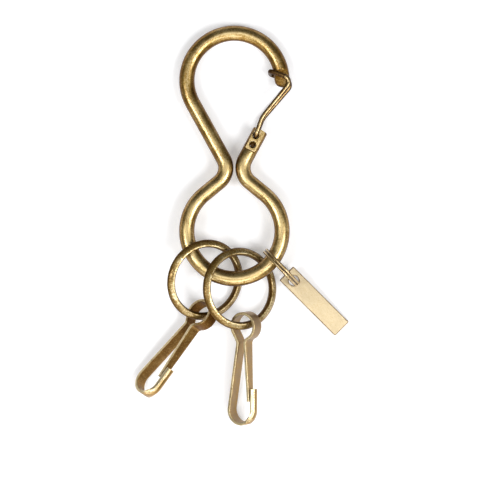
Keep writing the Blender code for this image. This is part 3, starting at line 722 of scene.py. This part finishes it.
def clip_meshes(c):
    """Meshes of a clip's body and its tongue, and the neck where they meet."""
    path = bend_path(clip_bends(c), FINE_STEP)
    neck = next(i for i, (p, _) in enumerate(path) if p.y > -c.neck_drop - c.neck_bend)
    hinge = path[neck][0]
    tongue_path = divided(path[:neck + 1], c.thickness)
    body_path = divided(path[neck:], c.thickness)
    shares = [channel_share(c, p) for p, _ in body_path]
    widths = [c.strip + (c.channel_strip - c.strip) * k for k in shares]
    body = strip_mesh("clip_body", c, body_path, widths, [c.fold * k for k in shares])
    longest = (hinge - tongue_path[0][0]).length
    widths = [c.strip + (c.tongue_tip - c.strip) * (hinge - p).length / longest for p, _ in tongue_path]
    tongue = strip_mesh("clip_tongue", c, tongue_path, widths, [0] * len(tongue_path))
    return body, tongue, hinge


# The tag

def tag_mesh(t):
    """The plate, its rims rounded before its hole is cut, so that the face round the hole stays flat."""
    bm = bmesh.new()
    near, far, side = -t.hole_from_end, t.plate_length - t.hole_from_end, t.plate_width / 2
    corners = [(near, -side), (far, -side), (far, side), (near, side)]
    bm.faces.new([bm.verts.new((x, y, -t.thickness / 2)) for x, y in corners])
    bmesh.ops.bevel(bm, geom=bm.verts[:], affect="VERTICES", offset=t.corner, segments=TAG_CORNER_STEPS,
                    profile=0.5, material=-1)
    grown = bmesh.ops.extrude_face_region(bm, geom=bm.faces[:])["geom"]
    bmesh.ops.translate(bm, verts=[g for g in grown if isinstance(g, bmesh.types.BMVert)],
                        vec=(0, 0, t.thickness))
    rims = [e for e in bm.edges if abs(abs(e.calc_face_angle()) - math.pi / 2) < RIGHT_ANGLE_SLACK]
    bmesh.ops.bevel(bm, geom=rims, affect="EDGES", offset=t.edge, segments=SOFT_STEPS, profile=0.5,
                    material=-1)
    hole = bmesh.new()
    cylinder(hole, (0, 0, 0), t.hole, t.thickness * 3)
    return cut("tag", mesh_from("tag", bm), [mesh_from("tag_hole", hole)], t.edge)


# Materials

def math_node(tree, operation, first, second):
    """The result of a calculation on two values, each a number or a socket."""
    node = tree.nodes.new("ShaderNodeMath")
    node.operation = operation
    for socket, value in zip(node.inputs, (first, second)):
        if isinstance(value, bpy.types.NodeSocket):
            tree.links.new(value, socket)
        else:
            socket.default_value = value
    return node.outputs[0]


def brass(name, worn_and_highlit, mid, tarnish_and_shade, wear=(0.40, 1.02), roughness=(0.30, 0.42), blotch=0.005,
          speck=0.00045, pit=0.00001, grain=None, polish=1.0, filed=None, bare=1.0, grit=0.18):
    """Brass, bright on faces along Z and dark on its sides, with blotches and fine pits.

    It goes from dark to mid to worn over its span of the facing mark: the worn colour is rubbed wear and
    painted highlight, the dark one tarnish and painted shade. Roughness is a span over the blotches, polish
    the coat where it is worn, and bare how metallic it is where it is dark. Blotch, speck and pit are
    lengths, grit is what the specks change of the facing mark, and grain gives streaks as (turn, stretch,
    size, depth).
    """
    material = bpy.data.materials.new(name)
    material.use_nodes = True
    nodes, links = material.node_tree.nodes, material.node_tree.links
    shader = nodes["Principled BSDF"]
    shader.inputs["Metallic"].default_value = 1
    place = nodes.new("ShaderNodeTexCoord").outputs["Object"]

    def noise(source, size, detail, harshness=0.55):
        node = nodes.new("ShaderNodeTexNoise")
        node.inputs["Scale"].default_value = 1 / size
        node.inputs["Detail"].default_value = detail
        node.inputs["Roughness"].default_value = harshness
        links.new(source, node.inputs["Vector"])
        return node.outputs["Fac"]

    def ranged(source, low, high, to_low, to_high):
        node = nodes.new("ShaderNodeMapRange")
        node.interpolation_type = "SMOOTHSTEP"
        for socket, value in zip(("From Min", "From Max", "To Min", "To Max"), (low, high, to_low, to_high)):
            node.inputs[socket].default_value = value
        links.new(source, node.inputs["Value"])
        return node.outputs["Result"]

    def mixed(factor, first, second):
        node = nodes.new("ShaderNodeMix")
        node.data_type = "RGBA"
        links.new(factor, node.inputs[0])
        for socket, value in ((node.inputs[6], first), (node.inputs[7], second)):
            if isinstance(value, bpy.types.NodeSocket):
                links.new(value, socket)
            else:
                socket.default_value = (*value, 1)
        return node.outputs[2]

    def added(first, second):
        return math_node(material.node_tree, "ADD", first, second)

    def scaled(value, factor):
        return math_node(material.node_tree, "MULTIPLY", value, factor)

    def mark(name):
        node = nodes.new("ShaderNodeAttribute")
        node.attribute_name = name
        return node.outputs["Fac"]

    blotches = noise(place, blotch, detail=4)
    specks = noise(place, speck, detail=3, harshness=0.7)
    uneven = added(ranged(blotches, *NOISE_SPAN, -BLOTCH_WEAR, BLOTCH_WEAR),
                   ranged(specks, *NOISE_SPAN, grit, -grit))
    # Facing mark, second mark and noises: high gives the bright colour, rubbed wear and painted highlight,
    # and low the dark one, tarnish and painted shade.
    rubbed_and_lit = added(added(mark("wear"), mark("use")), uneven)
    low, high = wear
    middle = (low + high) / 2
    colour_now = mixed(ranged(rubbed_and_lit, low, middle, 0, 1), tarnish_and_shade, mid)
    colour_now = mixed(ranged(rubbed_and_lit, middle, high, 0, 1), colour_now, worn_and_highlit)
    colour_now = mixed(ranged(specks, *SPECK_TINT_SPAN, 0, SPECK_TINT), colour_now, mid)
    rough = added(ranged(blotches, *NOISE_SPAN, *roughness),
                  ranged(specks, *SPECK_ROUGH_SPAN, 0, SPECK_ROUGHNESS))
    if filed:
        speckled = mixed(ranged(specks, *FILED_SPAN, 0, FILED_SPECKS), filed, mid)
        colour_now = mixed(mark("filed"), colour_now, speckled)
        rough = added(rough, scaled(mark("filed"), FILED_ROUGHNESS))
    if bare < 1:
        links.new(ranged(rubbed_and_lit, low, high, bare, 1), shader.inputs["Metallic"])
        shader.inputs["Specular IOR Level"].default_value = BARE_SPECULAR
    links.new(ranged(rubbed_and_lit, low, high, 0, polish), shader.inputs["Coat Weight"])
    shader.inputs["Coat Roughness"].default_value = COAT_ROUGHNESS
    shader.inputs["Coat IOR"].default_value = COAT_IOR
    height = specks
    if grain:
        turn, stretch, size, depth = grain
        mapping = nodes.new("ShaderNodeMapping")
        mapping.vector_type = "TEXTURE"
        mapping.inputs["Rotation"].default_value = turn
        mapping.inputs["Scale"].default_value = stretch
        links.new(place, mapping.inputs["Vector"])
        streaks = noise(mapping.outputs["Vector"], size, detail=2, harshness=0.6)
        colour_now = mixed(ranged(streaks, *STREAK_SPAN, 0, depth), colour_now, mid)
        rough = added(rough, ranged(streaks, *NOISE_SPAN, *STREAK_ROUGHNESS))
        height = added(specks, scaled(streaks, STREAK_HEIGHT))
    links.new(colour_now, shader.inputs["Base Color"])
    links.new(rough, shader.inputs["Roughness"])
    bump = nodes.new("ShaderNodeBump")
    bump.inputs["Distance"].default_value = pit
    links.new(height, bump.inputs["Height"])
    links.new(bump.outputs["Normal"], shader.inputs["Normal"])
    return material


# Operators

class KEYHOOK_OT_frame(bpy.types.Operator):
    """Bends the rod into its two loops, and files its ends"""
    bl_idname = "keyhook.frame"
    bl_label = "Hook frame"

    def execute(self, context):
        sizes, colours = context.scene.hook_sizes, context.scene.brass_colours
        material = brass("rod_brass", colours.rod, colours.rod_mid, colours.rod_dark, pit=0.00002,
                         filed=colours.filed)
        half_rod, half_flat = sizes.rod / 2, sizes.arm_flat / 2
        waist, spacing = sizes.waist_height, sizes.spacing
        nose_level = spacing / NOSE_DIVIDE
        slack = sizes.groove / 3
        holes = gate_holes(sizes)
        _, arm_end, heading = frame_path(sizes)
        shoulder = arm_end - direction(heading) * sizes.arm_flat_length

        # Painted shade: the holes and the saw mark get the darkest colour.
        def in_hole(centre):
            return abs(centre.z) < half_flat and any((centre.xy - hole).length < sizes.hole * HOLE_REACH
                                                     for hole in holes)

        def in_groove(centre, upright):
            return (waist < centre.y < nose_level and abs(centre.z) < half_flat - slack
                    and (centre.xy - shoulder).length < half_rod and upright > GROOVE_NORMAL)

        def use(face):
            """The hook loop is darker than the ring loop towards its middle: painted shade.

            The holes and the saw mark are dark with painted shade, and the nose's flats are darker.
            """
            centre, upright = face.center, abs(face.normal.z)
            if in_hole(centre) or in_groove(centre, upright):
                return PAINTED_SHADE
            sunk = abs(centre.z) < SUNK_SHARE * half_rod
            if upright > FLAT_NORMAL and sunk and centre.y > nose_level:
                return NOSE_FLAT_DARKENING
            if centre.y < waist:
                return ROD_LIFT
            return ROD_LIFT - HOOK_LOOP_SHADE * max(0, 1 - abs(centre.y - spacing) / (spacing - waist))

        def filed(face):
            """1 on the arm's two flats."""
            return float(abs(face.normal.z) > FLAT_NORMAL and face.center.y < nose_level
                         and abs(abs(face.center.z) - half_flat) < slack)

        show("hook_rod", frame_mesh(sizes), hook_place(sizes), material, ["hook_frame"], "hook",
             {"use": use, "filed": filed})
        return {"FINISHED"}


class KEYHOOK_OT_gate(bpy.types.Operator):
    """Bends the gate's hairpin of wire"""
    bl_idname = "keyhook.gate"
    bl_label = "Wire gate"

    def execute(self, context):
        sizes, gate = context.scene.hook_sizes, context.scene.gate_sizes
        colours = context.scene.brass_colours
        place = hook_place(sizes)
        points = gate_points(sizes, gate)
        rounding = gate.wire * END_ROUNDING
        mesh = wire_mesh("gate_wire", points, gate.wire, WIRE_SIDES, rounding, rounding)
        material = brass("gate_brass", colours.wire, colours.wire_mid, colours.wire_dark,
                         wear=(0.65, 1.1), roughness=(0.22, 0.34), bare=0.5, polish=0.5, grit=0.1)
        stop = max(points, key=lambda point: point.y)
        upper, lower = gate_holes(sizes)

        def use(face):
            """The lower pin, sunk in its hole, and the closed end, next to the nose's inner side, are
            darker: painted shade.
            """
            if (face.center.xy - lower).length < gate.wire and face.center.z > -sizes.arm_flat / 2:
                return LOWER_PIN_SHADE
            away = (face.center - stop).xy.length / (CLOSED_END_REACH * gate.wire)
            return -CLOSED_END_SHADE * max(0, 1 - away)

        wire = show("gate_wire", mesh, place, material, ["wire_gate", "gate_spring_end"], None,
                    {"use": use})
        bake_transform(wire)
        return {"FINISHED"}


class KEYHOOK_OT_key_rings(bpy.types.Operator):
    """Turns the two key rings"""
    bl_idname = "keyhook.key_rings"
    bl_label = "Key rings"

    def execute(self, context):
        colours = context.scene.brass_colours
        material = brass("ring_brass", colours.ring, colours.ring_mid, colours.ring_dark,
                         wear=(0.62, 1.12), roughness=(0.28, 0.40), bare=0.5)
        for side in ("left", "right"):
            show(f"ring_{side}", key_ring_mesh(context.scene.ring_sizes), key_ring_place(side), material,
                 [f"key_ring_{side}"], f"ring_{side}")
        return {"FINISHED"}


class KEYHOOK_OT_clips(bpy.types.Operator):
    """Bends the two clips from strip, and folds their channels"""
    bl_idname = "keyhook.clips"
    bl_label = "Spring clips"

    def execute(self, context):
        sizes, colours = context.scene.clip_sizes, context.scene.brass_colours
        for side, tarnish in (("left", colours.strip_dark), ("right", colours.strip_pale)):
            material = brass(f"strip_brass_{side}", colours.strip, colours.strip_mid, tarnish,
                             wear=(-0.3, 1.02), roughness=(0.32, 0.46), grit=0.24)
            body, tongue, hinge = clip_meshes(sizes)
            eye_darkening = EYE_DARKENING[side]

            def use(face):
                """The channel is brighter, a painted highlight, and the eye darker."""
                if face.center.y > -sizes.eye / 2:
                    return eye_darkening
                return CHANNEL_HIGHLIGHT * channel_share(sizes, face.center.xy)

            place = clip_place(side, hinge)
            show(f"clip_{side}", body, place, material, [f"spring_clip_{side}"], f"clip_{side}",
                 {"use": use})
            piece = show(f"tongue_{side}", tongue, place, material, [f"clip_tongue_{side}"], None)
            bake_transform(piece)
        return {"FINISHED"}


class KEYHOOK_OT_split_ring(bpy.types.Operator):
    """Winds the tag's split ring"""
    bl_idname = "keyhook.split_ring"
    bl_label = "Split ring"

    def execute(self, context):
        sizes, colours = context.scene.ring_sizes, context.scene.brass_colours
        rounding = sizes.split_wire * END_ROUNDING
        mesh = wire_mesh("split_ring", split_ring_points(sizes), sizes.split_wire, WIRE_SIDES, rounding,
                         rounding)
        material = brass("split_ring_brass", colours.wire, colours.wire_mid, colours.wire_dark,
                         wear=(0.0, 0.8), roughness=(0.42, 0.50), pit=0.000003, bare=0.4, polish=0.8,
                         grit=0.05)

        def use(face):
            """Its rim is made bright and its sides dark, since it stands on edge: painted light and shade,
            as on the other pieces.
            """
            return 1 - 2 * abs(face.normal.z)

        show("split_ring", mesh, split_ring_place(), material, ["tag_split_ring"], "split_ring",
             {"use": use})
        return {"FINISHED"}


class KEYHOOK_OT_tag(bpy.types.Operator):
    """Cuts the blank tag"""
    bl_idname = "keyhook.tag"
    bl_label = "Tag"

    def execute(self, context):
        sizes, colours = context.scene.tag_sizes, context.scene.brass_colours
        material = brass("tag_brass", colours.tag, colours.tag_mid, colours.tag_dark,
                         wear=(0.45, 1.0), roughness=(0.50, 0.60), pit=0.000004, polish=0.0, bare=0.0,
                         grit=0.15, grain=((0, 0, tag_heading(sizes)), *TAG_GRAIN))

        def use(face):
            """The rims and the hole's wall are dark: painted shade."""
            return PAINTED_SHADE if abs(face.normal.z) < TAG_NORMAL else 0.0

        show("tag", tag_mesh(sizes), tag_place(sizes), material, ["tag_plate"], "tag",
             {"use": use})
        return {"FINISHED"}


def area_light(name, place, size, power):
    """A white rectangular light that points to the middle of the floor."""
    data = bpy.data.lights.new(name, "AREA")
    data.shape = "RECTANGLE"
    data.size, data.size_y = size
    data.energy = power
    light = bpy.data.objects.new(name, data)
    bpy.context.scene.collection.objects.link(light)
    light.location = place
    light.rotation_euler = (Vector((0, 0, 0)) - Vector(place)).to_track_quat("-Z", "Y").to_euler()


class KEYHOOK_OT_studio(bpy.types.Operator):
    """Sets the white floor, the lights and the camera"""
    bl_idname = "keyhook.studio"
    bl_label = "Studio"

    def execute(self, context):
        look = context.scene.studio_look
        scene = context.scene
        scene.view_settings.view_transform = "Standard"

        bm = bmesh.new()
        bmesh.ops.create_grid(bm, x_segments=1, y_segments=1, size=FLOOR_SIZE)
        floor = bpy.data.objects.new("floor", mesh_from("floor", bm))
        scene.collection.objects.link(floor)
        material = bpy.data.materials.new("floor_white")
        material.use_nodes = True
        tree = material.node_tree
        shader = tree.nodes["Principled BSDF"]
        shader.inputs["Base Color"].default_value = (*look.floor, 1)
        shader.inputs["Roughness"].default_value = FLOOR_ROUGHNESS
        shader.inputs["Specular IOR Level"].default_value = 0
        rays = tree.nodes.new("ShaderNodeLightPath").outputs
        seen = math_node(tree, "MAXIMUM", rays["Is Camera Ray"], rays["Is Glossy Ray"])
        seen = math_node(tree, "MAXIMUM", seen, rays["Is Transmission Ray"])
        lift = math_node(tree, "MULTIPLY", seen, look.floor_lift)
        shader.inputs["Emission Color"].default_value = (1, 1, 1, 1)
        tree.links.new(lift, shader.inputs["Emission Strength"])
        floor.data.materials.append(material)

        world = bpy.data.worlds.new("room")
        world.use_nodes = True
        scene.world = world
        background = world.node_tree.nodes["Background"]
        background.inputs["Color"].default_value = (1, 1, 1, 1)
        background.inputs["Strength"].default_value = look.surroundings

        for light in LIGHTS:
            area_light(*light)

        pixel = look.pixel
        hook = hook_place(scene.hook_sizes)
        middle = hook @ Vector((PHOTO_MIDDLE[0] * pixel, PHOTO_MIDDLE[1] * pixel, 0))
        data = bpy.data.cameras.new("camera")
        camera = bpy.data.objects.new("camera", data)
        scene.collection.objects.link(camera)
        camera.location = (middle.x, middle.y, look.camera_height)
        data.lens = data.sensor_width * (look.camera_height - middle.z) / (PHOTO_SIDE * pixel)
        data.clip_end = CAMERA_REACH
        scene.camera = camera
        return {"FINISHED"}


class KEYHOOK_PT_panel(bpy.types.Panel):
    bl_label = "Key Hook"
    bl_idname = "KEYHOOK_PT_panel"
    bl_space_type = "VIEW_3D"
    bl_region_type = "UI"
    bl_category = "Key Hook"

    def draw(self, context):
        for operator in OPERATORS:
            self.layout.operator(operator.bl_idname)
        for name in GROUPS:
            group = getattr(context.scene, name)
            column = self.layout.column(heading=group.rna_type.name)
            for key in group.__annotations__:
                column.prop(group, key)


GROUPS = {"hook_sizes": HookSizes, "gate_sizes": GateSizes, "ring_sizes": RingSizes, "clip_sizes": ClipSizes,
          "tag_sizes": TagSizes, "brass_colours": BrassColours, "studio_look": StudioLook}
OPERATORS = (KEYHOOK_OT_frame, KEYHOOK_OT_gate, KEYHOOK_OT_key_rings, KEYHOOK_OT_clips,
             KEYHOOK_OT_split_ring, KEYHOOK_OT_tag, KEYHOOK_OT_studio)


def register():
    for thing in (*GROUPS.values(), *OPERATORS, KEYHOOK_PT_panel):
        bpy.utils.register_class(thing)
    for name, group in GROUPS.items():
        setattr(bpy.types.Scene, name, PointerProperty(type=group))


def unregister():
    for name in GROUPS:
        delattr(bpy.types.Scene, name)
    for thing in reversed((*GROUPS.values(), *OPERATORS, KEYHOOK_PT_panel)):
        bpy.utils.unregister_class(thing)


def main():
    register()
    for operator in OPERATORS:
        group, name = operator.bl_idname.split(".")
        getattr(getattr(bpy.ops, group), name)()


if __name__ == "__main__":
    main()
